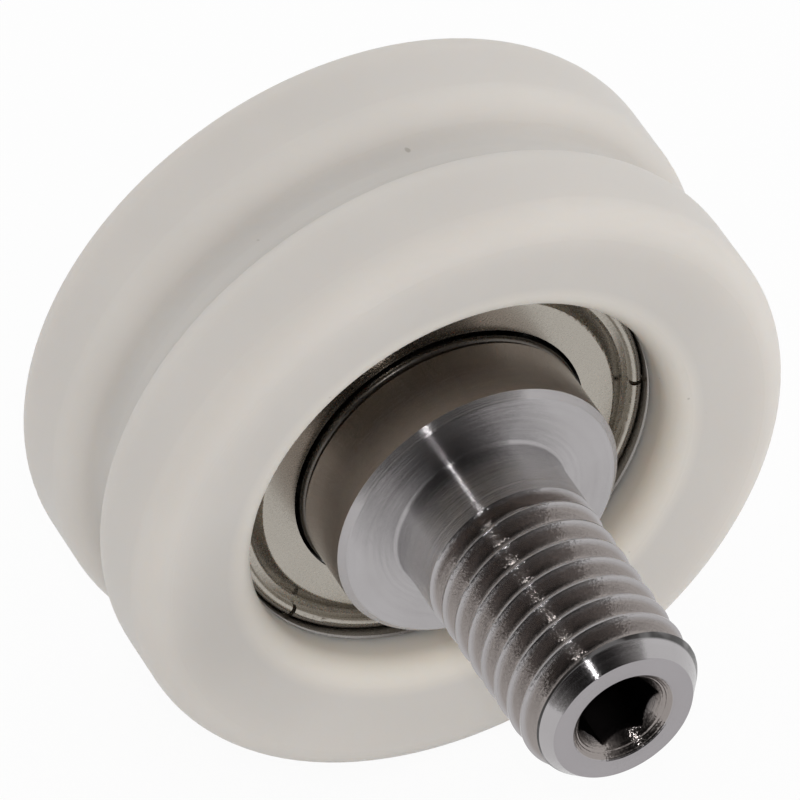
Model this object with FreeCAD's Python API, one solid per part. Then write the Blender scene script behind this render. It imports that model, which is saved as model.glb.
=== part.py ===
import FreeCAD, Part
import math
import os

# Grooved nylon roller for a sliding door, on a shielded ball bearing and a threaded steel axle.
# Millimetres. The axle lies along Y, its threaded tip towards -Y, and +Z is up.
# The origin is on the axle's axis, in the plane of the collar's front face, where the door hanger seats.

# Roller
root_wall = 3.1           # nylon between the bearing and the groove's root
wheel_w = 16.15           # front face to rear face
wheel_setback = 1.2       # the roller's front face lies this far behind the collar's front face
flange_edge_r = 1.6       # rounding at the outside of each flange
groove_mouth = 3.9        # groove width where its flanks would meet the flange lands
groove_depth = 1.9
groove_flank = 66.0       # slope of the flanks against the axis, degrees
groove_lip_r = 1.95
groove_root_r = 1.15
rim_face_w = 2.2          # flat outer band of each side face, edge rounding included
dish_depth = 0.6          # the side faces sink by this much towards the bore
dish_blend_r = 6.0
lip_edge_r = 1.4          # the lips reach in to the edge of the shields' recess

# Ball bearing, 12 x 28 x 8
bearing_bore = 12.0
inner_ring_wall = 2.3     # from the bore to the inner ring's shoulder
inner_land = 1.7          # from that shoulder to the balls' pitch circle
outer_land = 1.6          # from the pitch circle to the outer ring's shoulder
ball_d = 4.762
ball_side_room = 1.619    # between a ball and the plane of the bearing's side
bearing_setback = 4.4     # the bearing's front plane lies this far behind the collar's front face
ring_edge_r = 0.3
ball_count = 8
first_ball_angle = 90.0   # angles run from +X towards +Z, degrees
race_conformity = 0.52    # race radius as a share of the ball's diameter
race_clear = 0.02         # radial play between ball and race

# Bearing cage: two pressed halves with rivets between the pockets
cage_t = 0.3
cage_w = 1.4
pocket_clear = 0.05
rivet_shank_d = 0.9
rivet_head_d = 1.3
rivet_head_h = 0.32
rivet_head_edge_r = 0.25

# Bearing shields: pressed steel, rim rolled into a recess of the outer ring
shield_t = 0.3
shield_seat_step = 0.55   # the recess is this much wider than the outer ring's shoulder, on the radius
shield_seat_wall = 1.85   # from the recess to the bearing's outside
shield_seat_depth = 1.35  # recess of the outer ring, from its side face
shield_chamfer = 0.2
shield_sink = 0.5         # shield's flat lies this far below the ring's side face
shield_rim_sink = 0.65
shield_inner_gap = 0.2    # between shield and inner ring
shield_step_w = 0.7
shield_trough_w = 0.47
shield_rim_w = 0.66
shield_seat_clear = 0.02
shield_bend_r = 0.25
shield_rim_r = 0.3
crimp_gap_w = 0.3
crimp_gap_depth = 0.35
crimp_count = 5
crimp_pitch = 68.9
first_crimp_angle = 0.8

# Axle
thread_d = 9.85           # over the crests of the M10 thread, and over the plain shank behind it
thread_pitch = 1.5
thread_depth = 0.86
thread_crest_w = 0.2
thread_flank = 30.0       # slope of the flanks against the radius, degrees
thread_start = 128.2      # angle at which the groove begins, degrees
shank_l = 3.7             # plain length between collar and thread
thread_tip = 16.4         # tip's distance in front of the collar's front face
tip_chamfer_l = 1.3
tip_face_d = 8.0
shank_fillet_r = 0.25
collar_ledge = 0.1        # the inner ring stands out past the collar by this much, on the radius
collar_chamfer = 0.38
collar_back_r = 0.2
stub_end = 2.3            # axle's end behind the bearing
stub_chamfer = 0.5

# Hexagon socket in the tip
hex_af = 4.0
hex_depth = 5.0
hex_corner_angle = 8.2
mouth_d = 5.84            # countersink on the tip's face
mouth_inner_d = 4.76
mouth_depth = 0.5
throat_d = 3.8            # steeper second cone, which cuts the flats' ends
throat_depth = 1.15
drill_point = 118.0

# Retaining ring behind the bearing
clip_t = 1.0
clip_groove_depth = 0.25
clip_groove_w = 1.1
clip_back_w = 1.8         # radial width opposite the gap
clip_end_w = 1.3          # radial width beside the lugs
clip_lug_d = 3.0
clip_hole_d = 1.5
clip_lug_rise = 1.6       # hole centres outside the groove's bottom
clip_gap = 0.6
clip_angle = 90.0

AXIS = FreeCAD.Vector(0, 1, 0)
CENTRE = FreeCAD.Vector(0, 0, 0)

inner_shoulder_d = bearing_bore + 2 * inner_ring_wall
pitch_d = inner_shoulder_d + 2 * inner_land
outer_shoulder_d = pitch_d + 2 * outer_land
shield_seat_d = outer_shoulder_d + 2 * shield_seat_step
bearing_d = shield_seat_d + 2 * shield_seat_wall
bearing_w = ball_d + 2 * ball_side_room
collar_d = inner_shoulder_d - 2 * collar_ledge
clip_groove_d = bearing_bore - 2 * clip_groove_depth

bearing_mid = bearing_setback + bearing_w / 2
ball_r = ball_d / 2
race_r = race_conformity * ball_d


def point(radius, along):
    return FreeCAD.Vector(radius, along, 0)


def rounded_outline(corners):
    """Closed outline through (radius, along, rounding) corners; a rounding is held to its neighbours' length."""
    points = [point(radius, along) for radius, along, _ in corners]
    count = len(points)
    sides = [(points[(i + 1) % count] - points[i]).Length for i in range(count)]
    half_angles = []
    reaches = []
    for i, (_, _, rounding) in enumerate(corners):
        back = points[i - 1] - points[i]
        ahead = points[(i + 1) % count] - points[i]
        half = back.getAngle(ahead) / 2
        half_angles.append(half)
        reaches.append(rounding / math.tan(half))
    shares = []
    for i in range(count):
        before = reaches[i - 1] + reaches[i]
        after = reaches[i] + reaches[(i + 1) % count]
        fit_before = 0.98 * sides[i - 1] / before if before else 1
        fit_after = 0.98 * sides[i] / after if after else 1
        shares.append(min(1, fit_before, fit_after))
    starts = []
    ends = []
    edges = []
    for i in range(count):
        reach = reaches[i] * shares[i]
        back = (points[i - 1] - points[i]).normalize()
        ahead = (points[(i + 1) % count] - points[i]).normalize()
        starts.append(points[i] + back * reach)
        ends.append(points[i] + ahead * reach)
        if reach > 0:
            rounding = reach * math.tan(half_angles[i])
            inward = (back + ahead).normalize()
            middle = points[i] + inward * (rounding / math.sin(half_angles[i]) - rounding)
            edges.append(Part.Arc(starts[i], middle, ends[i]).toShape())
        nxt = (i + 1) % count
        edges.append((i, nxt))
    outline = []
    for edge in edges:
        if isinstance(edge, tuple):
            edge = Part.makeLine(ends[edge[0]], starts[edge[1]])
        outline.append(edge)
    return Part.Wire(outline)


def turned(corners):
    """Solid of revolution about the axle's axis."""
    return Part.Face(rounded_outline(corners)).revolve(CENTRE, AXIS, 360)


def around(shape, angle):
    """The shape turned from +X towards +Z."""
    return shape.rotated(CENTRE, FreeCAD.Vector(0, -1, 0), angle)


def cylinder(diameter, start, end):
    return Part.makeCylinder(diameter / 2, end - start, point(0, start), AXIS)


def tube(inner_d, outer_d, start, end):
    return cylinder(outer_d, start, end).cut(cylinder(inner_d, start, end))


def in_bearing(shape):
    """Moves a piece from the bearing's own middle plane to its place on the axle."""
    return shape.translated(point(0, bearing_mid))


def facing_back(shape):
    """The same piece fitted the other way round, for the rear side."""
    return shape.rotated(CENTRE, FreeCAD.Vector(0, 0, 1), 180)


def make_wheel():
    front = wheel_setback
    rear = front + wheel_w
    middle = (front + rear) / 2
    seat_front = bearing_setback
    seat_rear = bearing_setback + bearing_w
    root = bearing_d / 2 + root_wall
    outer = root + groove_depth
    flank_run = groove_depth / math.tan(math.radians(groove_flank))
    lip = shield_seat_d / 2
    face_inner = outer - rim_face_w
    half_mouth = groove_mouth / 2
    return turned([
        (lip, seat_front, 0),
        (lip, front + dish_depth, lip_edge_r),
        (face_inner, front, dish_blend_r),
        (outer, front, flange_edge_r),
        (outer, middle - half_mouth, groove_lip_r),
        (root, middle - half_mouth + flank_run, groove_root_r),
        (root, middle + half_mouth - flank_run, groove_root_r),
        (outer, middle + half_mouth, groove_lip_r),
        (outer, rear, flange_edge_r),
        (face_inner, rear, dish_blend_r),
        (lip, rear - dish_depth, lip_edge_r),
        (lip, seat_rear, 0),
        (bearing_d / 2, seat_rear, ring_edge_r),
        (bearing_d / 2, seat_front, ring_edge_r),
    ])


def make_race(bottom_r, centre_side):
    """Torus that cuts a ball race; centre_side is +1 for a race whose centre lies outside its bottom."""
    return Part.makeTorus(bottom_r + centre_side * race_r, race_r, CENTRE, AXIS)


def make_inner_ring():
    half = bearing_w / 2
    bore = bearing_bore / 2
    shoulder = inner_shoulder_d / 2
    ring = turned([
        (bore, -half, ring_edge_r),
        (bore, half, ring_edge_r),
        (shoulder, half, ring_edge_r),
        (shoulder, -half, ring_edge_r),
    ])
    return ring.cut(make_race(pitch_d / 2 - ball_r - race_clear, 1))


def make_outer_ring():
    half = bearing_w / 2
    outer = bearing_d / 2
    seat = shield_seat_d / 2
    shoulder = outer_shoulder_d / 2
    step = half - shield_seat_depth
    ring = turned([
        (outer, -half, ring_edge_r),
        (outer, half, ring_edge_r),
        (seat + shield_chamfer, half, 0),
        (seat, half - shield_chamfer, 0),
        (seat, step, 0),
        (shoulder, step, 0),
        (shoulder, -step, 0),
        (seat, -step, 0),
        (seat, -half + shield_chamfer, 0),
        (seat + shield_chamfer, -half, 0),
    ])
    return ring.cut(make_race(pitch_d / 2 + ball_r + race_clear, -1))


def make_shield():
    """Front shield: a flat ring, a pressed step down, and a rolled rim crimped in a few places."""
    floor = -(bearing_w / 2 - shield_seat_depth)
    top = -(bearing_w / 2 - shield_sink)
    inner = inner_shoulder_d / 2 + shield_inner_gap
    rim_outer = shield_seat_d / 2 - shield_seat_clear
    rim_inner = rim_outer - shield_rim_w
    step_out = rim_inner - shield_trough_w
    flat = step_out - shield_step_w
    rim_top = -(bearing_w / 2 - shield_rim_sink)
    tray = floor - shield_t
    fold = shield_t * math.tan(math.atan2(tray - top, shield_step_w) / 2)
    shield = turned([
        (inner, top + shield_t, 0),
        (inner, top, 0),
        (flat, top, shield_bend_r),
        (step_out, tray, shield_bend_r),
        (rim_inner, tray, 0),
        (rim_inner, rim_top, shield_rim_r),
        (rim_outer, rim_top, shield_rim_r),
        (rim_outer, floor, 0),
        (step_out - fold, floor, 0),
        (flat - fold, top + shield_t, 0),
    ])
    for number in range(crimp_count):
        slot = Part.makeBox(shield_rim_w + 2 * shield_t, crimp_gap_depth + shield_t, crimp_gap_w)
        slot.translate(FreeCAD.Vector(rim_inner - shield_t, rim_top - shield_t, -crimp_gap_w / 2))
        shield = shield.cut(around(slot, first_crimp_angle - number * crimp_pitch))
    return shield


def ball_angle(number):
    return first_ball_angle + number * 360 / ball_count


def make_ball(number):
    ball = Part.makeSphere(ball_r, point(pitch_d / 2, 0))
    return around(ball, ball_angle(number))


def make_cage_half():
    """Front half of the cage: a flat band that bulges round each ball."""
    pocket_r = ball_r + pocket_clear
    inner_d = pitch_d - cage_w
    outer_d = pitch_d + cage_w
    reach = tube(inner_d, outer_d, -bearing_w / 2, 0)
    half = tube(inner_d, outer_d, -cage_t, 0)
    for number in range(ball_count):
        bulge = Part.makeSphere(pocket_r + cage_t, point(pitch_d / 2, 0), AXIS)
        half = half.fuse(around(bulge, ball_angle(number)).common(reach))
    for number in range(ball_count):
        pocket = Part.makeSphere(pocket_r, point(pitch_d / 2, 0), AXIS)
        hole = Part.makeCylinder(rivet_shank_d / 2, cage_t, point(pitch_d / 2, -cage_t), AXIS)
        half = half.cut(around(pocket, ball_angle(number)))
        half = half.cut(around(hole, ball_angle(number + 0.5)))
    return half.removeSplitter()


def make_rivets():
    shank = rivet_shank_d / 2
    head = rivet_head_d / 2
    end = cage_t + rivet_head_h
    rivet = turned([
        (0, -end, 0),
        (head, -end, rivet_head_edge_r),
        (head, -cage_t, 0),
        (shank, -cage_t, 0),
        (shank, cage_t, 0),
        (head, cage_t, 0),
        (head, end, rivet_head_edge_r),
        (0, end, 0),
    ])
    rivet.translate(point(pitch_d / 2, 0))
    return Part.makeCompound([around(rivet, ball_angle(number + 0.5)) for number in range(ball_count)])


def make_hex_socket():
    """What is cut from the tip: two cones, the hexagon and the drill point at its bottom."""
    tip = -thread_tip
    corner_r = hex_af / 2 / math.cos(math.radians(30))
    corners = []
    for number in range(7):
        angle = math.radians(60 * number)
        corners.append(FreeCAD.Vector(corner_r * math.cos(angle), tip, corner_r * math.sin(angle)))
    hexagon = Part.Face(Part.makePolygon(corners)).extrude(point(0, hex_depth))
    hexagon = around(hexagon, hex_corner_angle)
    mouth = Part.makeCone(mouth_d / 2, mouth_inner_d / 2, mouth_depth, point(0, tip), AXIS)
    throat_l = throat_depth - mouth_depth
    throat = Part.makeCone(mouth_inner_d / 2, throat_d / 2, throat_l, point(0, tip + mouth_depth), AXIS)
    drill_l = hex_af / 2 / math.tan(math.radians(drill_point / 2))
    drill = Part.makeCone(hex_af / 2, 0, drill_l, point(0, tip + hex_depth), AXIS)
    return hexagon.fuse([mouth, throat, drill])


def make_thread_groove():
    """What is cut from the shank for the right-hand thread: a V groove with a flat root, swept past the tip."""
    crest = thread_d / 2
    slope = math.tan(math.radians(thread_flank))
    half_mouth = (thread_pitch - thread_crest_w) / 2
    half_root = half_mouth - thread_depth * slope
    over = thread_crest_w / 4 / slope
    start = -shank_l - half_mouth
    section = Part.makePolygon([
        point(crest - thread_depth, -half_root),
        point(crest + over, -half_mouth - over * slope),
        point(crest + over, half_mouth + over * slope),
        point(crest - thread_depth, half_root),
        point(crest - thread_depth, -half_root),
    ])
    path = Part.makeHelix(thread_pitch, thread_tip + thread_pitch + start, crest)
    path.rotate(CENTRE, FreeCAD.Vector(1, 0, 0), 90)
    groove = Part.Wire(path.Edges).makePipeShell([section], True, True)
    return around(groove.translated(point(0, start)), thread_start)


def make_axle():
    tip = -thread_tip
    thread = thread_d / 2
    collar = collar_d / 2
    bore = bearing_bore / 2
    rear = bearing_setback + bearing_w
    groove = clip_groove_d / 2
    end = rear + stub_end
    axle = turned([
        (0, tip, 0),
        (tip_face_d / 2, tip, 0),
        (thread, tip + tip_chamfer_l, 0),
        (thread, 0, shank_fillet_r),
        (collar - collar_chamfer, 0, 0),
        (collar, collar_chamfer, 0),
        (collar, bearing_setback, collar_back_r),
        (bore, bearing_setback, 0),
        (bore, rear, 0),
        (groove, rear, 0),
        (groove, rear + clip_groove_w, 0),
        (bore, rear + clip_groove_w, 0),
        (bore, end - stub_chamfer, 0),
        (bore - stub_chamfer, end, 0),
        (0, end, 0),
    ])
    return axle.cut(make_thread_groove()).cut(make_hex_socket())


def make_retaining_ring():
    """Eccentric spring ring in the axle's groove, with two drilled lugs beside its gap."""
    start = bearing_setback + bearing_w
    end = start + clip_t
    seat = clip_groove_d / 2
    outer = seat + (clip_back_w + clip_end_w) / 2
    offset = (clip_back_w - clip_end_w) / 2
    lug_at = seat + clip_lug_rise
    lug_angle = math.degrees(math.asin((clip_gap + clip_lug_d) / 2 / lug_at))
    ring = cylinder(2 * outer, start, end).translated(point(-offset, 0))
    holes = []
    for side in (-1, 1):
        lug = cylinder(clip_lug_d, start, end).translated(point(lug_at, 0))
        hole = cylinder(clip_hole_d, start, end).translated(point(lug_at, 0))
        ring = ring.fuse(around(lug, side * lug_angle))
        holes.append(around(hole, side * lug_angle))
    gap = Part.makeBox(lug_at + clip_lug_d, clip_t, clip_gap)
    gap.translate(FreeCAD.Vector(0, start, -clip_gap / 2))
    ring = ring.cut(holes + [cylinder(clip_groove_d, start, end), gap])
    return around(ring.removeSplitter(), clip_angle)


def make_nodes():
    shield = make_shield()
    cage_half = make_cage_half()
    nodes = {
        "axle": make_axle(),
        "retaining_ring": make_retaining_ring(),
        "inner_ring": in_bearing(make_inner_ring()),
        "wheel": make_wheel(),
        "outer_ring": in_bearing(make_outer_ring()),
        "shield_front": in_bearing(shield),
        "shield_rear": in_bearing(facing_back(shield)),
        "cage_front": in_bearing(cage_half),
        "cage_rear": in_bearing(facing_back(cage_half)),
        "cage_rivets": in_bearing(make_rivets()),
    }
    for number in range(ball_count):
        nodes["ball_%d" % (number + 1)] = in_bearing(make_ball(number))
    return nodes


os.makedirs("parts", exist_ok=True)
for name, shape in make_nodes().items():
    shape.exportStep("parts/%s.step" % name)
    print(name, "solids", len(shape.Solids), "valid", shape.isValid(), "mm3", round(shape.Volume, 2))
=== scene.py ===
import bmesh
import bpy
import math
import numpy as np
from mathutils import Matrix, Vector

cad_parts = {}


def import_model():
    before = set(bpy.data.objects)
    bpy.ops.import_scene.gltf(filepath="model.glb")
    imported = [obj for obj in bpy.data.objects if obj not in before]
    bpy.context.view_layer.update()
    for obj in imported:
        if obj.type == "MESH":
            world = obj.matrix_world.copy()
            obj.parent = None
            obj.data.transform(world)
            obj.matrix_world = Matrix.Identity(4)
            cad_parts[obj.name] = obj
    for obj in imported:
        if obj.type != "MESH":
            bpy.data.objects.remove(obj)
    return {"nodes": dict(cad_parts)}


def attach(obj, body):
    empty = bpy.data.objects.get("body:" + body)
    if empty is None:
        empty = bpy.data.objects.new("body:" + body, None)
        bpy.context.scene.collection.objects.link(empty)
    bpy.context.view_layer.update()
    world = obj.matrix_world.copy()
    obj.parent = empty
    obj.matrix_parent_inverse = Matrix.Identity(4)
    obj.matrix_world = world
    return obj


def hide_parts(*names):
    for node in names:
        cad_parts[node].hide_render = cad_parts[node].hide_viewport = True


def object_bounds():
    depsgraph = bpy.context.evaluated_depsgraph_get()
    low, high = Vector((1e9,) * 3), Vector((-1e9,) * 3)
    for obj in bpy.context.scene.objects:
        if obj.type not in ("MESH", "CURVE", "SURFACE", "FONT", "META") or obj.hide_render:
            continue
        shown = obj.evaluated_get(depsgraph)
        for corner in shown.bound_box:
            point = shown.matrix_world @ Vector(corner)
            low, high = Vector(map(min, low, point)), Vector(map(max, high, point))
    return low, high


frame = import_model()
cad_box = [list(corner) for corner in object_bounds()]

MM = 0.001

# View: the camera's angles in degrees, its distance, how far its middle lies right of and above the
# origin, and its lens in millimetres
VIEW_AZIMUTH = -26.16
VIEW_ELEVATION = 44.46
VIEW_DISTANCE = 498.5 * MM
VIEW_RIGHT = -4.26 * MM
VIEW_UP = 6.035 * MM
LENS = 428.1

# Light: the world's strength on the object, the small flash above the camera and the soft lamp low on the
# right; lamps give azimuth and elevation in degrees, then distance and size in metres and power in watts
WORLD_LIGHT = 0.8
FLASH_LAMP = (VIEW_AZIMUTH, VIEW_ELEVATION + 4, 0.5, 0.012, 0.22)
FILL_LAMP = (50, 10, 0.3, 0.2, 0.2)

# Dark bowl behind the camera: radius in metres, half its opening in degrees, its glow in the middle and
# at the edge
BOWL_R = 0.62
BOWL_ANGLE = 64.0
BOWL_MIDDLE = 0.012
BOWL_EDGE = 0.3
BOWL_ROWS = 17
BOWL_COLUMNS = 49

# Floor: half its side in metres, and the share of plain white that the camera sees in it
FLOOR_REACH = 1.5
FLOOR_WHITE = 0.93

# Nylon's painted light, in millimetres from the axis: lighter and warmer inside where the bore's lip
# begins, blended into the face's tone by the second radius
LIP_R = 12.3
LIP_END_R = 14.0

# Painted shade on the bearing's rings round the collar, in millimetres from the axis: full inside the first
# radius and gone past the second
SHADE_FULL_R = 8.3
SHADE_GONE_R = 9.0

# Axle, in millimetres along its axis and from it, with the tip towards -Y. The thread's flank, the
# hexagon's first corner and the drilled bottom are angles in degrees, and the thread's run-in counts
# turns
TIP_Y = -16.4
TIP_FACE_R = 4.0
TIP_CHAMFER_L = 1.3
THREAD_R = 4.925
THREAD_PITCH = 1.5
THREAD_DEPTH = 0.86
THREAD_FLANK = 30.0
THREAD_CREST_W = 0.14
THREAD_ROOT_SOFT = 0.12
THREAD_RUN_OUT = 0.35
THREAD_RUN_IN_TURNS = 0.2
CREST_Y = -4.6
# Painted shade: a black line round the chamfer's edge, its width and its distance from the end face
EDGE_SHADE_W = 0.28
FACE_TO_EDGE_SHADE = 0.15
SHANK_END_Y = -3.7
SHANK_FILLET = 0.25
COLLAR_R = 8.2
COLLAR_CHAMFER = 0.38
COLLAR_BACK_R = 0.2
SEAT_Y = 4.4
SEAT_R = 6.0
SEAT_END_Y = 12.4
RING_GROOVE_R = 5.75
RING_GROOVE_W = 1.1
STUB_END_Y = 14.7
STUB_CHAMFER = 0.5
HEX_FLATS = 4.0
HEX_DEPTH = 5.0
HEX_CORNER = 8.2
MOUTH_R = 2.92
MOUTH_DEPTH = 0.5
THROAT_R = 2.38
THROAT_END_R = 1.9
THROAT_DEPTH = 1.15
DRILL_ANGLE = 59.0

# Axle's mesh: columns round it, thread rows in one pitch, rows in the socket's throat and mouth with the
# short step between the two in millimetres, points in a fillet, the corner in degrees that stays sharp,
# and the distance in metres within which points are one
COLUMNS = 180
PITCH_ROWS = 36
THROAT_ROWS = 12
MOUTH_ROWS = 8
MOUTH_STEP = 0.02
FILLET_POINTS = 6
SHARP_ANGLE = 30.0
SAME_POINT = 1e-8


def seen_from(azimuth, elevation):
    """Unit vector from the object towards an onlooker; azimuth 0 is at -Y, elevation is above the
    horizon."""
    a = math.radians(azimuth)
    e = math.radians(elevation)
    return Vector((math.sin(a) * math.cos(e), -math.cos(a) * math.cos(e), math.sin(e)))


def add_camera():
    data = bpy.data.cameras.new("camera")
    data.sensor_width = 36
    data.lens = LENS
    data.clip_start = 0.05
    data.clip_end = 20
    camera = bpy.data.objects.new("camera", data)
    back = seen_from(VIEW_AZIMUTH, VIEW_ELEVATION)
    right = Vector((math.cos(math.radians(VIEW_AZIMUTH)), math.sin(math.radians(VIEW_AZIMUTH)), 0))
    up = back.cross(right)
    camera.location = back * VIEW_DISTANCE + right * VIEW_RIGHT + up * VIEW_UP
    camera.rotation_euler = (math.radians(90 - VIEW_ELEVATION), 0, math.radians(VIEW_AZIMUTH))
    bpy.context.scene.collection.objects.link(camera)
    bpy.context.scene.camera = camera


class Nodes:
    """A material's or group's nodes; each call adds one and joins its inputs to values or other nodes'
    outputs."""

    def __init__(self, tree):
        self.tree = tree

    def add(self, kind, inputs=None, **settings):
        node = self.tree.nodes.new(kind)
        for name, value in settings.items():
            setattr(node, name, value)
        for name, value in (inputs or {}).items():
            self.feed(node.inputs[name], value)
        return node

    def feed(self, socket, value):
        if isinstance(value, bpy.types.NodeSocket):
            self.tree.links.new(value, socket)
        else:
            socket.default_value = value

    def math(self, operation, *values, clamp=False):
        node = self.add("ShaderNodeMath", operation=operation, use_clamp=clamp)
        for socket, value in zip(node.inputs, values):
            self.feed(socket, value)
        return node.outputs[0]

    def vector(self, operation, *values):
        node = self.add("ShaderNodeVectorMath", operation=operation)
        for socket, value in zip(node.inputs, values):
            self.feed(socket, value)
        return node.outputs["Vector"]

    def scaled(self, vector, factor):
        node = self.add("ShaderNodeVectorMath", {"Vector": vector, "Scale": factor}, operation="SCALE")
        return node.outputs["Vector"]

    def blend(self, share, low, high):
        """Colour between low and high by share."""
        node = self.add("ShaderNodeMix", data_type="RGBA")
        self.feed(node.inputs["Factor"], share)
        self.feed(node.inputs[6], low)
        self.feed(node.inputs[7], high)
        return node.outputs[2]

    def ramp(self, value, start, end, low=0.0, high=1.0):
        """Low before start, high after end, smooth between."""
        inputs = {
            "Value": value,
            "From Min": start,
            "From Max": end,
            "To Min": low,
            "To Max": high,
        }
        node = self.add("ShaderNodeMapRange", inputs, interpolation_type="SMOOTHSTEP")
        return node.outputs["Result"]

    def spread(self, noise, low, high):
        """A noise's usual range, 0.3 to 0.7, drawn out from low to high."""
        return self.ramp(noise, 0.3, 0.7, low, high)

    def noise(self, vector, scale, detail=2.0, roughness=0.5):
        inputs = {"Vector": vector, "Scale": scale, "Detail": detail, "Roughness": roughness}
        return self.add("ShaderNodeTexNoise", inputs).outputs["Fac"]

    def line_noise(self, path, detail):
        """Noise that changes along one path only, about once per unit of it."""
        inputs = {"W": path, "Scale": 1.0, "Detail": detail}
        return self.add("ShaderNodeTexNoise", inputs, noise_dimensions="1D").outputs["Fac"]

    def place(self):
        """Where a point lies: (vector, distance from the axis, place along it), in metres."""
        vector = self.add("ShaderNodeTexCoord").outputs["Object"]
        x, y, z = self.add("ShaderNodeSeparateXYZ", {"Vector": vector}).outputs
        square = self.math("ADD", self.math("MULTIPLY", x, x), self.math("MULTIPLY", z, z))
        return vector, self.math("SQRT", square), y


def new_group(name, inputs, outputs):
    """Empty effect group; inputs and outputs are (name, kind, default) and (name, kind)."""
    group = bpy.data.node_groups.new(name, "ShaderNodeTree")
    for label, kind, default in inputs:
        socket = group.interface.new_socket(label, in_out="INPUT", socket_type=kind)
        socket.default_value = default
    for label, kind in outputs:
        group.interface.new_socket(label, in_out="OUTPUT", socket_type=kind)
    nodes = Nodes(group)
    entry = nodes.add("NodeGroupInput").outputs
    leave = nodes.add("NodeGroupOutput").inputs
    return group, nodes, entry, leave


def make_turning_group():
    """Turned marks: fine rings round the axis, as random ridges along the axis on cylinders and across it
    on faces, and a tone that changes eight times more slowly."""
    floats = "NodeSocketFloat"
    outputs = [("Ridge", floats), ("Tone", floats)]
    group, nodes, entry, leave = new_group("turned_marks", [("Rings per mm", floats, 6.0)], outputs)
    _, across, along = nodes.place()
    rings_per_metre = nodes.math("MULTIPLY", entry["Rings per mm"], 1 / MM)
    path = nodes.math("MULTIPLY", nodes.math("ADD", across, along), rings_per_metre)
    nodes.feed(leave["Ridge"], nodes.line_noise(path, 3.0))
    nodes.feed(leave["Tone"], nodes.line_noise(nodes.math("MULTIPLY", path, 0.12), 2.0))
    return group


def make_speckle_group():
    """Two random tones: a fine rough grain and a soft cloud."""
    floats = "NodeSocketFloat"
    inputs = [("Grain mm", floats, 0.1), ("Cloud mm", floats, 2.0)]
    group, nodes, entry, leave = new_group("speckle", inputs, [("Rough", floats), ("Cloud", floats)])
    vector, _, _ = nodes.place()
    grain_scale = nodes.math("DIVIDE", 1 / MM, entry["Grain mm"])
    cloud_scale = nodes.math("DIVIDE", 1 / MM, entry["Cloud mm"])
    nodes.feed(leave["Rough"], nodes.noise(vector, grain_scale, 3.0, 0.65))
    nodes.feed(leave["Cloud"], nodes.noise(vector, cloud_scale, 3.0))
    return group


def make_lathe_normal_group():
    """Normal tilted to and fro across the turned rings, by steep random slopes finer than the eye parts;
    highlights are drawn out across the rings and stay narrow along them. Grain mm and Grain tilt add
    small pits."""
    floats = "NodeSocketFloat"
    inputs = [
        ("Rings per mm", floats, 20.0),
        ("Slope", floats, 2.0),
        ("Grain mm", floats, 0.1),
        ("Grain tilt", floats, 0.0),
    ]
    group, nodes, entry, leave = new_group("lathe_normal", inputs, [("Normal", "NodeSocketVector")])
    vector, across, along = nodes.place()
    rings_per_metre = nodes.math("MULTIPLY", entry["Rings per mm"], 1 / MM)
    path = nodes.math("MULTIPLY", nodes.math("ADD", across, along), rings_per_metre)
    to_and_fro = nodes.math("SUBTRACT", nodes.line_noise(path, 2.0), 0.5)
    slope = nodes.math("MULTIPLY", to_and_fro, entry["Slope"])
    normal = nodes.add("ShaderNodeTexCoord").outputs["Normal"]
    round_way = nodes.vector("NORMALIZE", nodes.vector("CROSS_PRODUCT", (0, 1, 0), vector))
    over_rings = nodes.vector("CROSS_PRODUCT", normal, round_way)
    tilt = nodes.scaled(over_rings, slope)
    grain_scale = nodes.math("DIVIDE", 1 / MM, entry["Grain mm"])
    grain = nodes.add("ShaderNodeTexNoise", {"Vector": vector, "Scale": grain_scale, "Detail": 2.0})
    pits = nodes.vector("SUBTRACT", grain.outputs["Color"], (0.5, 0.5, 0.5))
    pits = nodes.scaled(pits, entry["Grain tilt"])
    total = nodes.vector("NORMALIZE", nodes.vector("ADD", normal, nodes.vector("ADD", tilt, pits)))
    to_world = {"vector_type": "NORMAL", "convert_from": "OBJECT", "convert_to": "WORLD"}
    turned = nodes.add("ShaderNodeVectorTransform", {"Vector": total}, **to_world)
    nodes.feed(leave["Normal"], turned.outputs[0])
    return group


TURNED = make_turning_group()
SPECKLE = make_speckle_group()
LATHE = make_lathe_normal_group()


def new_material(name):
    material = bpy.data.materials.new(name)
    material.use_nodes = True
    nodes = Nodes(material.node_tree)
    shader = material.node_tree.nodes["Principled BSDF"]
    return material, nodes, shader


def use_group(nodes, group, **values):
    node = nodes.add("ShaderNodeGroup", node_tree=group)
    for name, value in values.items():
        nodes.feed(node.inputs[name.replace("_", " ")], value)
    return node.outputs


def raise_surface(nodes, shader, height, relief):
    """Faint relief on the surface, by height from 0 to 1 and the relief's height in mm."""
    bump = nodes.add("ShaderNodeBump", {"Height": height, "Strength": 0.12, "Distance": relief * MM})
    nodes.feed(shader.inputs["Normal"], bump.outputs[0])


def draw_out_highlights(nodes, shader, strength):
    """Highlights drawn out across the turned rings, as on a lathe-cut surface."""
    shader.inputs["Anisotropic"].default_value = strength
    shader.inputs["Anisotropic Rotation"].default_value = 0.25
    tangent = nodes.add("ShaderNodeTangent", direction_type="RADIAL", axis="Y")
    nodes.feed(shader.inputs["Tangent"], tangent.outputs[0])


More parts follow.
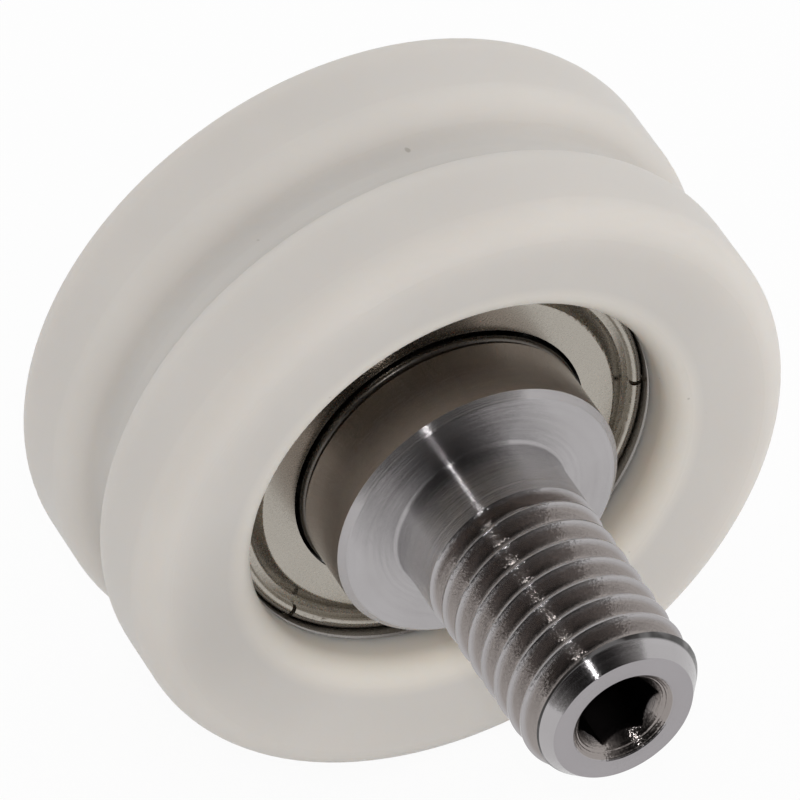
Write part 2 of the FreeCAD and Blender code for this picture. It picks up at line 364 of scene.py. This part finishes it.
def nylon():
    """Moulded ivory nylon: slightly cloudy and waxy, with painted light that makes it paler and creamier
    inside the bore's lip, a fine dimpled skin, faint flow rings and tiny specks."""
    material, nodes, shader = new_material("nylon_ivory")
    vector, across, _ = nodes.place()
    skin = use_group(nodes, SPECKLE, Grain_mm=0.35, Cloud_mm=9.0)
    rings = use_group(nodes, TURNED, Rings_per_mm=1.4)
    # Painted light: the nylon lighter and warmer inside the bore's lip, lifting the shade there, then
    # blending out to the face's tone
    past_lip = nodes.math("SUBTRACT", across, LIP_R * MM)
    outward = nodes.math("DIVIDE", past_lip, (LIP_END_R - LIP_R) * MM, clamp=True)
    tone = nodes.blend(outward, (0.83, 0.77, 0.69, 1), (0.64, 0.61, 0.575, 1))
    tone = nodes.scaled(tone, nodes.spread(skin["Cloud"], 0.985, 1.01))
    spots = nodes.noise(vector, 900.0, 1.0, 0.5)
    tone = nodes.blend(nodes.ramp(spots, 0.80, 0.83, 0.0, 0.5), tone, (0.3, 0.27, 0.22, 1))
    nodes.feed(shader.inputs["Base Color"], tone)
    nodes.feed(shader.inputs["Roughness"], nodes.spread(skin["Cloud"], 0.5, 0.6))
    dimples = nodes.math("MULTIPLY", skin["Rough"], 0.6)
    flow = nodes.math("MULTIPLY", rings["Tone"], 0.4)
    raise_surface(nodes, shader, nodes.math("ADD", dimples, flow), 0.05)
    shader.inputs["Specular IOR Level"].default_value = 0.3
    shader.inputs["Subsurface Weight"].default_value = 0.75
    shader.inputs["Subsurface Radius"].default_value = (1.0, 0.85, 0.7)
    shader.inputs["Subsurface Scale"].default_value = 3.0 * MM
    return material


def turned_steel():
    """Lathe-cut bare steel: fine rings, bright crests, torn thread flanks with painted shade that makes
    them darker and browner, a broken black line of painted shade round the chamfer's edge, a collar side
    painted warm as a reflection of the wheel, and a socket painted dark as its shade."""
    material, nodes, shader = new_material("axle_turned_steel")
    _, across, along = nodes.place()
    rings = use_group(nodes, TURNED, Rings_per_mm=7.0)
    grains = use_group(nodes, SPECKLE, Grain_mm=0.09, Cloud_mm=3.0)

    def before(y, blur):
        """1 where the place along the axis is before y, 0 past it, smooth over blur on both sides, in
        mm."""
        return nodes.ramp(along, (y - blur) * MM, (y + blur) * MM, 1.0, 0.0)

    def both(first, second):
        """Share where both shares are."""
        return nodes.math("MULTIPLY", first, second)

    steepness = (THREAD_R - TIP_FACE_R) / TIP_CHAMFER_L
    chamfer_r = nodes.math("MULTIPLY_ADD", along, steepness, (TIP_FACE_R - TIP_Y * steepness) * MM)
    off_chamfer = nodes.ramp(nodes.math("SUBTRACT", chamfer_r, across), 0.005 * MM, 0.03 * MM)
    tip_end = before(SHANK_END_Y, 0.1)
    on_chamfer = both(tip_end, nodes.math("SUBTRACT", 1.0, off_chamfer))
    threaded = both(tip_end, off_chamfer)
    below_crest = nodes.ramp(across, (THREAD_R - 0.35) * MM, (THREAD_R - 0.05) * MM, 1.0, 0.0)
    off_face = nodes.ramp(along, (TIP_Y + 0.03) * MM, (TIP_Y + 0.1) * MM)
    flank = both(both(threaded, below_crest), off_face)
    end_face = nodes.ramp(along, (TIP_Y + 0.03) * MM, (TIP_Y + 0.06) * MM, 1.0, 0.0)
    past_collar_edge = nodes.ramp(along, (COLLAR_CHAMFER - 0.03) * MM, (COLLAR_CHAMFER + 0.03) * MM)
    collar_side = both(past_collar_edge, before(SEAT_Y + 0.3, 0.1))
    in_mouth = nodes.ramp(along, (TIP_Y + MOUTH_DEPTH) * MM, (TIP_Y + THROAT_DEPTH) * MM)
    in_bore = nodes.ramp(across, (THROAT_R - 0.1) * MM, (THROAT_R + 0.1) * MM, 1.0, 0.0)
    in_socket = both(both(in_mouth, in_bore), nodes.ramp(along, SHANK_END_Y * MM, 0.0, 1.0, 0.0))
    # Painted shade: a broken black line round the chamfer's edge, dull and not metallic
    edge_shade = nodes.ramp(nodes.add("ShaderNodeAttribute", attribute_name="edge_shade").outputs["Fac"], 0.45, 0.75)
    edge_shade = both(edge_shade, nodes.ramp(grains["Cloud"], 0.35, 0.5, 0.4, 1.0))

    base = nodes.blend(grains["Cloud"], (0.345, 0.33, 0.33, 1), (0.415, 0.40, 0.405, 1))
    for share, colour in (
        (nodes.math("MULTIPLY", rings["Tone"], 0.5), (0.48, 0.465, 0.475, 1)),
        # Painted shade: the thread's flanks darker and browner down in the grooves
        (nodes.math("MULTIPLY", flank, 0.7), (0.25, 0.215, 0.195, 1)),
        (nodes.math("MULTIPLY", end_face, 0.5), (0.28, 0.26, 0.275, 1)),
        # Painted shade: the black line round the chamfer's edge
        (edge_shade, (0.02, 0.018, 0.017, 1)),
        # Painted reflection: the collar side warm, as the wheel mirrored in it
        (collar_side, (0.46, 0.41, 0.38, 1)),
        # Painted shade: the hexagon socket dark inside
        (nodes.math("MULTIPLY", in_socket, 0.75), (0.05, 0.05, 0.055, 1)),
    ):
        base = nodes.blend(share, base, colour)
    nodes.feed(shader.inputs["Base Color"], base)
    nodes.feed(shader.inputs["Metallic"], nodes.math("SUBTRACT", 1.0, edge_shade))
    nodes.feed(shader.inputs["Roughness"], nodes.spread(grains["Rough"], 0.14, 0.22))

    slope = nodes.ramp(collar_side, 0.0, 1.0, 3.6, 1.0)
    slope = nodes.math("SUBTRACT", slope, nodes.math("MULTIPLY", threaded, 2.0))
    slope = nodes.math("SUBTRACT", slope, nodes.math("MULTIPLY", on_chamfer, 2.2))
    torn = nodes.math("MULTIPLY_ADD", threaded, 0.34, 0.06)
    lathe = use_group(nodes, LATHE, Rings_per_mm=160.0, Slope=slope, Grain_mm=0.11, Grain_tilt=torn)
    nodes.feed(shader.inputs["Normal"], lathe["Normal"])
    draw_out_highlights(nodes, shader, 0.85)
    return material


def ground_steel(name, low, high, roughness, rings_per_mm, shaded_near_axis=False):
    """Ground or pressed steel with faint rings and clouding; one with painted shade is dark near the axis,
    round the collar.
    """
    material, nodes, shader = new_material(name)
    rings = use_group(nodes, TURNED, Rings_per_mm=rings_per_mm)
    grains = use_group(nodes, SPECKLE, Grain_mm=0.12, Cloud_mm=4.0)
    tone = nodes.blend(grains["Cloud"], (*low, 1), (*high, 1))
    if shaded_near_axis:
        _, across, _ = nodes.place()
        # Painted shade: the rings darkened near the axis, round the collar
        painted_shade_share = nodes.ramp(across, SHADE_FULL_R * MM, SHADE_GONE_R * MM, 0.8, 0.0)
        tone = nodes.blend(painted_shade_share, tone, (0.07, 0.06, 0.05, 1))
    nodes.feed(shader.inputs["Base Color"], tone)
    shader.inputs["Metallic"].default_value = 1.0
    gloss = nodes.spread(grains["Rough"], roughness - 0.05, roughness + 0.08)
    nodes.feed(shader.inputs["Roughness"], gloss)
    grit = nodes.math("MULTIPLY", grains["Rough"], 0.4)
    raise_surface(nodes, shader, nodes.math("ADD", rings["Ridge"], grit), 0.01)
    return material


def finish_nodes():
    """Gives each piece that comes from the frame its finish."""
    ring = ground_steel(
        "bearing_ground_steel", (0.30, 0.285, 0.27), (0.38, 0.365, 0.35), 0.3, 8.0, shaded_near_axis=True)
    shield = ground_steel(
        "shield_pressed_steel", (0.36, 0.335, 0.295), (0.43, 0.40, 0.355), 0.24, 3.0)
    cage = ground_steel(
        "cage_pressed_steel", (0.35, 0.34, 0.33), (0.42, 0.41, 0.4), 0.35, 3.0)
    spring = ground_steel(
        "retaining_ring_spring_steel", (0.06, 0.06, 0.065), (0.1, 0.1, 0.11), 0.42, 3.0)
    ball = ground_steel(
        "ball_polished_steel", (0.6, 0.6, 0.61), (0.66, 0.66, 0.67), 0.12, 1.0)
    finishes = {
        "wheel": nylon(),
        "outer_ring": ring,
        "inner_ring": ring,
        "shield_front": shield,
        "shield_rear": shield,
        "cage_front": cage,
        "cage_rear": cage,
        "cage_rivets": cage,
        "retaining_ring": spring,
    }
    for name, node in frame["nodes"].items():
        finish = ball if name.startswith("ball_") else finishes.get(name)
        if finish is not None:
            node.data.materials.clear()
            node.data.materials.append(finish)


def add_mesh(name, points, quads, marks, finish, body):
    """Mesh from points (metres) and quads; equal points are merged, and corners past SHARP_ANGLE stay
    sharp. Marks are named shares per point, which the finish reads."""
    mesh = bpy.data.meshes.new(name)
    mesh.from_pydata(points, [], quads.tolist())
    for mark, shares in marks.items():
        attribute = mesh.attributes.new(mark, "FLOAT", "POINT")
        attribute.data.foreach_set("value", shares.astype(np.float32))
    shape = bmesh.new()
    shape.from_mesh(mesh)
    bmesh.ops.remove_doubles(shape, verts=shape.verts, dist=SAME_POINT)
    bmesh.ops.dissolve_degenerate(shape, edges=shape.edges, dist=SAME_POINT)
    bmesh.ops.recalc_face_normals(shape, faces=shape.faces)
    shape.to_mesh(mesh)
    shape.free()
    mesh.shade_smooth()
    mesh.set_sharp_from_angle(angle=math.radians(SHARP_ANGLE))
    mesh.materials.append(finish)
    piece = bpy.data.objects.new(name, mesh)
    bpy.context.scene.collection.objects.link(piece)
    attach(piece, body)
    return piece


def sheet_quads(rows, columns):
    """Quads of a sheet whose points are counted row by row."""
    index = np.arange(rows * columns).reshape(rows, columns)
    corners = [index[:-1, :-1], index[:-1, 1:], index[1:, 1:], index[1:, :-1]]
    return np.stack(corners, axis=-1).reshape(-1, 4)


def thread_height(phase):
    """Radius cut away at a place along the thread, in mm: none on the flat crest at phase 0, then a
    straight flank down to a root rounded by the logarithm of an exponential; phase counts turns from a
    crest's middle."""
    from_crest = np.abs(phase - np.round(phase)) * THREAD_PITCH
    flank = (from_crest - THREAD_CREST_W / 2) / math.tan(math.radians(THREAD_FLANK))
    left = (THREAD_DEPTH - np.clip(flank, 0, None)) / THREAD_ROOT_SOFT
    return THREAD_DEPTH - THREAD_ROOT_SOFT * np.log1p(np.exp(left))


def round_rows(profile):
    """Radius and place rows, each the same all round, from (radius, place along the axis) pairs."""
    rows = np.array(profile, float)
    ones = np.ones((1, COLUMNS + 1))
    return rows[:, :1] * ones, rows[:, 1:] * ones


def socket_rows(angle):
    """Hexagon socket from its drilled bottom to the end face: the hexagon's wall lies at half the width
    across flats over the cosine of the angle from a flat's middle, and a cone cuts its corners at the
    mouth."""
    from_flat = np.mod(angle, math.tau / 6) - math.tau / 12
    hexagon = HEX_FLATS / 2 / np.cos(from_flat)
    throat_depth = np.linspace(THROAT_DEPTH, MOUTH_DEPTH, THROAT_ROWS)
    mouth_depth = np.linspace(MOUTH_DEPTH - MOUTH_STEP, 0, MOUTH_ROWS)
    depth = np.concatenate([[HEX_DEPTH], throat_depth, mouth_depth])[:, None]
    cone = np.interp(depth, [0, MOUTH_DEPTH, THROAT_DEPTH], [MOUTH_R, THROAT_R, THROAT_END_R])
    cone = np.where(depth > THROAT_DEPTH, 0, cone)
    wall_r = np.maximum(hexagon, cone)
    wall_y = TIP_Y + depth * np.ones_like(angle)
    drill = HEX_FLATS / 2 / math.tan(math.radians(DRILL_ANGLE))
    bottom = [(0, TIP_Y + HEX_DEPTH + drill), (HEX_FLATS / 2, TIP_Y + HEX_DEPTH)]
    bottom_r, bottom_y = round_rows(bottom)
    face_r, face_y = round_rows([(MOUTH_R, TIP_Y), (TIP_FACE_R, TIP_Y)])
    radius = np.concatenate([bottom_r, wall_r, face_r])
    return radius, np.concatenate([bottom_y, wall_y, face_y])


def thread_rows(angle):
    """Tip's chamfer and thread. Rows climb one pitch in one turn, and a row's radius is the crest's, less
    the thread's height at its phase, or the chamfer's cone where that is smaller. No groove is cut before
    the first crest, the first groove deepens over part of a turn, and the last one runs out into the shank.
    The third array marks a line of painted shade round the chamfer's edge: 1 where the radii of cone and
    thread come close, 0 further off."""
    turn = angle / math.tau
    count = int((SHANK_END_Y - TIP_Y) / THREAD_PITCH + 3) * PITCH_ROWS
    climb = TIP_Y + np.arange(count)[:, None] * THREAD_PITCH / PITCH_ROWS
    along = np.clip(climb - THREAD_PITCH * turn, TIP_Y, SHANK_END_Y)
    phase = (along - CREST_Y) / THREAD_PITCH + turn
    tip_phase = (TIP_Y - CREST_Y) / THREAD_PITCH + turn
    first_crest = np.ceil(tip_phase)
    run_in = np.clip((first_crest - tip_phase) / THREAD_RUN_IN_TURNS, 0, 1)
    run_out = np.clip((SHANK_END_Y - along) / THREAD_RUN_OUT, 0, 1)
    cut_share = np.where(phase < first_crest + 1, run_in, 1) * (phase >= first_crest)
    thread = THREAD_R - thread_height(phase) * cut_share * run_out
    chamfer_end = TIP_Y + TIP_CHAMFER_L
    cone = np.interp(along, [TIP_Y, chamfer_end], [TIP_FACE_R, THREAD_R])
    # Painted shade: a black line where the chamfer's cone cuts the thread
    edge_shade = np.clip(1.6 - np.abs(thread - cone) / EDGE_SHADE_W, 0, 1)
    edge_shade *= (along > TIP_Y + FACE_TO_EDGE_SHADE) & (along < chamfer_end + EDGE_SHADE_W)
    return np.minimum(thread, cone), along, edge_shade


def rear_rows():
    """Shank, its fillet, collar, bearing seat with the spring ring's groove, and rear end."""
    def fillet(bend):
        """Point of the fillet between shank and collar, at an angle from the shank's side."""
        return THREAD_R + SHANK_FILLET * (1 - math.cos(bend)), -SHANK_FILLET * (1 - math.sin(bend))

    return round_rows([
        (THREAD_R, SHANK_END_Y),
        *map(fillet, np.linspace(0, math.pi / 2, FILLET_POINTS)),
        (COLLAR_R - COLLAR_CHAMFER, 0),
        (COLLAR_R, COLLAR_CHAMFER),
        (COLLAR_R, SEAT_Y - COLLAR_BACK_R),
        (COLLAR_R - COLLAR_BACK_R, SEAT_Y),
        (SEAT_R, SEAT_Y),
        (SEAT_R, SEAT_END_Y),
        (RING_GROOVE_R, SEAT_END_Y),
        (RING_GROOVE_R, SEAT_END_Y + RING_GROOVE_W),
        (SEAT_R, SEAT_END_Y + RING_GROOVE_W),
        (SEAT_R, STUB_END_Y - STUB_CHAMFER),
        (SEAT_R - STUB_CHAMFER, STUB_END_Y),
        (0, STUB_END_Y),
    ])


def axle_mesh():
    """The axle as one closed skin of rows carried round the axis, from the socket's bottom over tip,
    thread, collar and seat to the rear end; angles count from a corner of the hexagon. Gives points in
    metres, quads and the shares of the painted shade line round the chamfer's edge."""
    angle = np.linspace(0, math.tau, COLUMNS + 1)[None, :]
    socket_r, socket_y = socket_rows(angle)
    thread_r, thread_y, thread_edge_shade = thread_rows(angle)
    rear_r, rear_y = rear_rows()
    radius = np.concatenate([socket_r, thread_r, rear_r])
    along = np.concatenate([socket_y, thread_y, rear_y])
    edge_shade = np.concatenate([np.zeros_like(socket_r), thread_edge_shade, np.zeros_like(rear_r)])
    around = np.broadcast_to(angle + math.radians(HEX_CORNER), radius.shape)
    points = np.stack([radius * np.cos(around), along, radius * np.sin(around)], axis=-1) * MM
    return points.reshape(-1, 3), sheet_quads(*radius.shape), edge_shade.reshape(-1)


def add_axle():
    points, quads, edge_shade = axle_mesh()
    marks = {"edge_shade": edge_shade}
    axle = add_mesh("axle_threaded", points, quads, marks, turned_steel(), "axle_body")
    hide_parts("axle")


def floor_white():
    """Matt white; the share of plain white that only the camera and mirror-like surfaces see lifts it to
    the background's tone and leaves the object's shadow on it."""
    material, nodes, shader = new_material("floor_white")
    shader.inputs["Base Color"].default_value = (0.9, 0.9, 0.9, 1)
    shader.inputs["Roughness"].default_value = 0.9
    shader.inputs["Specular IOR Level"].default_value = 0.0
    rays = nodes.add("ShaderNodeLightPath").outputs
    seen = nodes.math("MAXIMUM", rays["Is Camera Ray"], rays["Is Glossy Ray"])
    glow = nodes.add("ShaderNodeEmission", {"Color": (1, 1, 1, 1), "Strength": 1.0})
    mix = nodes.add("ShaderNodeMixShader")
    nodes.feed(mix.inputs[0], nodes.math("MULTIPLY", seen, FLOOR_WHITE))
    nodes.feed(mix.inputs[1], shader.outputs[0])
    nodes.feed(mix.inputs[2], glow.outputs[0])
    output = material.node_tree.nodes["Material Output"]
    nodes.feed(output.inputs["Surface"], mix.outputs[0])
    return material


def add_floor():
    """Level square under the object's lowest point."""
    height = cad_box[0][2]
    mesh = bpy.data.meshes.new("floor")
    sides = ((-1, -1), (1, -1), (1, 1), (-1, 1))
    mesh.from_pydata([(x * FLOOR_REACH, y * FLOOR_REACH, height) for x, y in sides], [], [(0, 1, 2, 3)])
    mesh.materials.append(floor_white())
    floor = bpy.data.objects.new("floor", mesh)
    bpy.context.scene.collection.objects.link(floor)


def set_world():
    """Even white studio: white to the camera and in reflections, less as light on the object."""
    world = bpy.data.worlds.new("studio")
    world.use_nodes = True
    nodes = Nodes(world.node_tree)
    background = world.node_tree.nodes["Background"]
    rays = nodes.add("ShaderNodeLightPath").outputs
    mirrored = nodes.math("MAXIMUM", rays["Is Glossy Ray"], rays["Is Transmission Ray"])
    seen = nodes.math("MAXIMUM", rays["Is Camera Ray"], mirrored)
    strength = nodes.add("ShaderNodeMix", {"Factor": seen})
    nodes.feed(strength.inputs[2], WORLD_LIGHT)
    nodes.feed(strength.inputs[3], 1.0)
    nodes.feed(background.inputs["Strength"], strength.outputs[0])
    background.inputs["Color"].default_value = (1, 1, 1, 1)
    bpy.context.scene.world = world


def add_lamp(name, azimuth, elevation, distance, size, power):
    """Round area lamp aimed at the origin."""
    data = bpy.data.lights.new(name, "AREA")
    data.shape = "DISK"
    data.size = size
    data.energy = power
    lamp = bpy.data.objects.new(name, data)
    away = seen_from(azimuth, elevation)
    lamp.location = away * distance
    lamp.rotation_mode = "QUATERNION"
    lamp.rotation_quaternion = away.to_track_quat("Z", "Y")
    bpy.context.scene.collection.objects.link(lamp)
    return lamp


def add_dark_bowl():
    """Dark bowl behind the camera, lighter towards its edge, which only shiny surfaces mirror: points on
    a sphere, rows by angle from the view's direction and columns round it."""
    away = seen_from(VIEW_AZIMUTH, VIEW_ELEVATION)
    side = away.orthogonal().normalized()
    other = away.cross(side)
    lean = np.radians(np.linspace(0, BOWL_ANGLE, BOWL_ROWS))[:, None, None]
    turn = np.linspace(0, math.tau, BOWL_COLUMNS)[None, :, None]
    across = np.array(side) * np.cos(turn) + np.array(other) * np.sin(turn)
    points = BOWL_R * (np.array(away) * np.cos(lean) + across * np.sin(lean))
    quads = sheet_quads(BOWL_ROWS, BOWL_COLUMNS)
    mesh = bpy.data.meshes.new("dark_bowl")
    mesh.from_pydata(points.reshape(-1, 3), [], quads.tolist())
    material, nodes, shader = new_material("bowl_black")
    shader.inputs["Base Color"].default_value = (0, 0, 0, 1)
    shader.inputs["Specular IOR Level"].default_value = 0.0
    place = nodes.vector("NORMALIZE", nodes.add("ShaderNodeTexCoord").outputs["Object"])
    facing = nodes.add("ShaderNodeVectorMath", {0: place, 1: tuple(away)}, operation="DOT_PRODUCT")
    lean_angle = nodes.math("ARCCOSINE", facing.outputs["Value"])
    lean_share = nodes.math("DIVIDE", lean_angle, math.radians(BOWL_ANGLE))
    shader.inputs["Emission Color"].default_value = (1, 0.97, 0.95, 1)
    nodes.feed(shader.inputs["Emission Strength"], nodes.ramp(lean_share, 0.4, 1.0, BOWL_MIDDLE, BOWL_EDGE))
    mesh.materials.append(material)
    bowl = bpy.data.objects.new("dark_bowl", mesh)
    bpy.context.scene.collection.objects.link(bowl)
    bowl.visible_camera = False
    bowl.visible_diffuse = False
    bowl.visible_shadow = False
    bowl.visible_transmission = False


bpy.context.scene.view_settings.view_transform = "Standard"
add_camera()
set_world()
add_floor()
add_dark_bowl()
add_lamp("flash", *FLASH_LAMP)
add_lamp("fill", *FILL_LAMP).visible_glossy = False
finish_nodes()
add_axle()
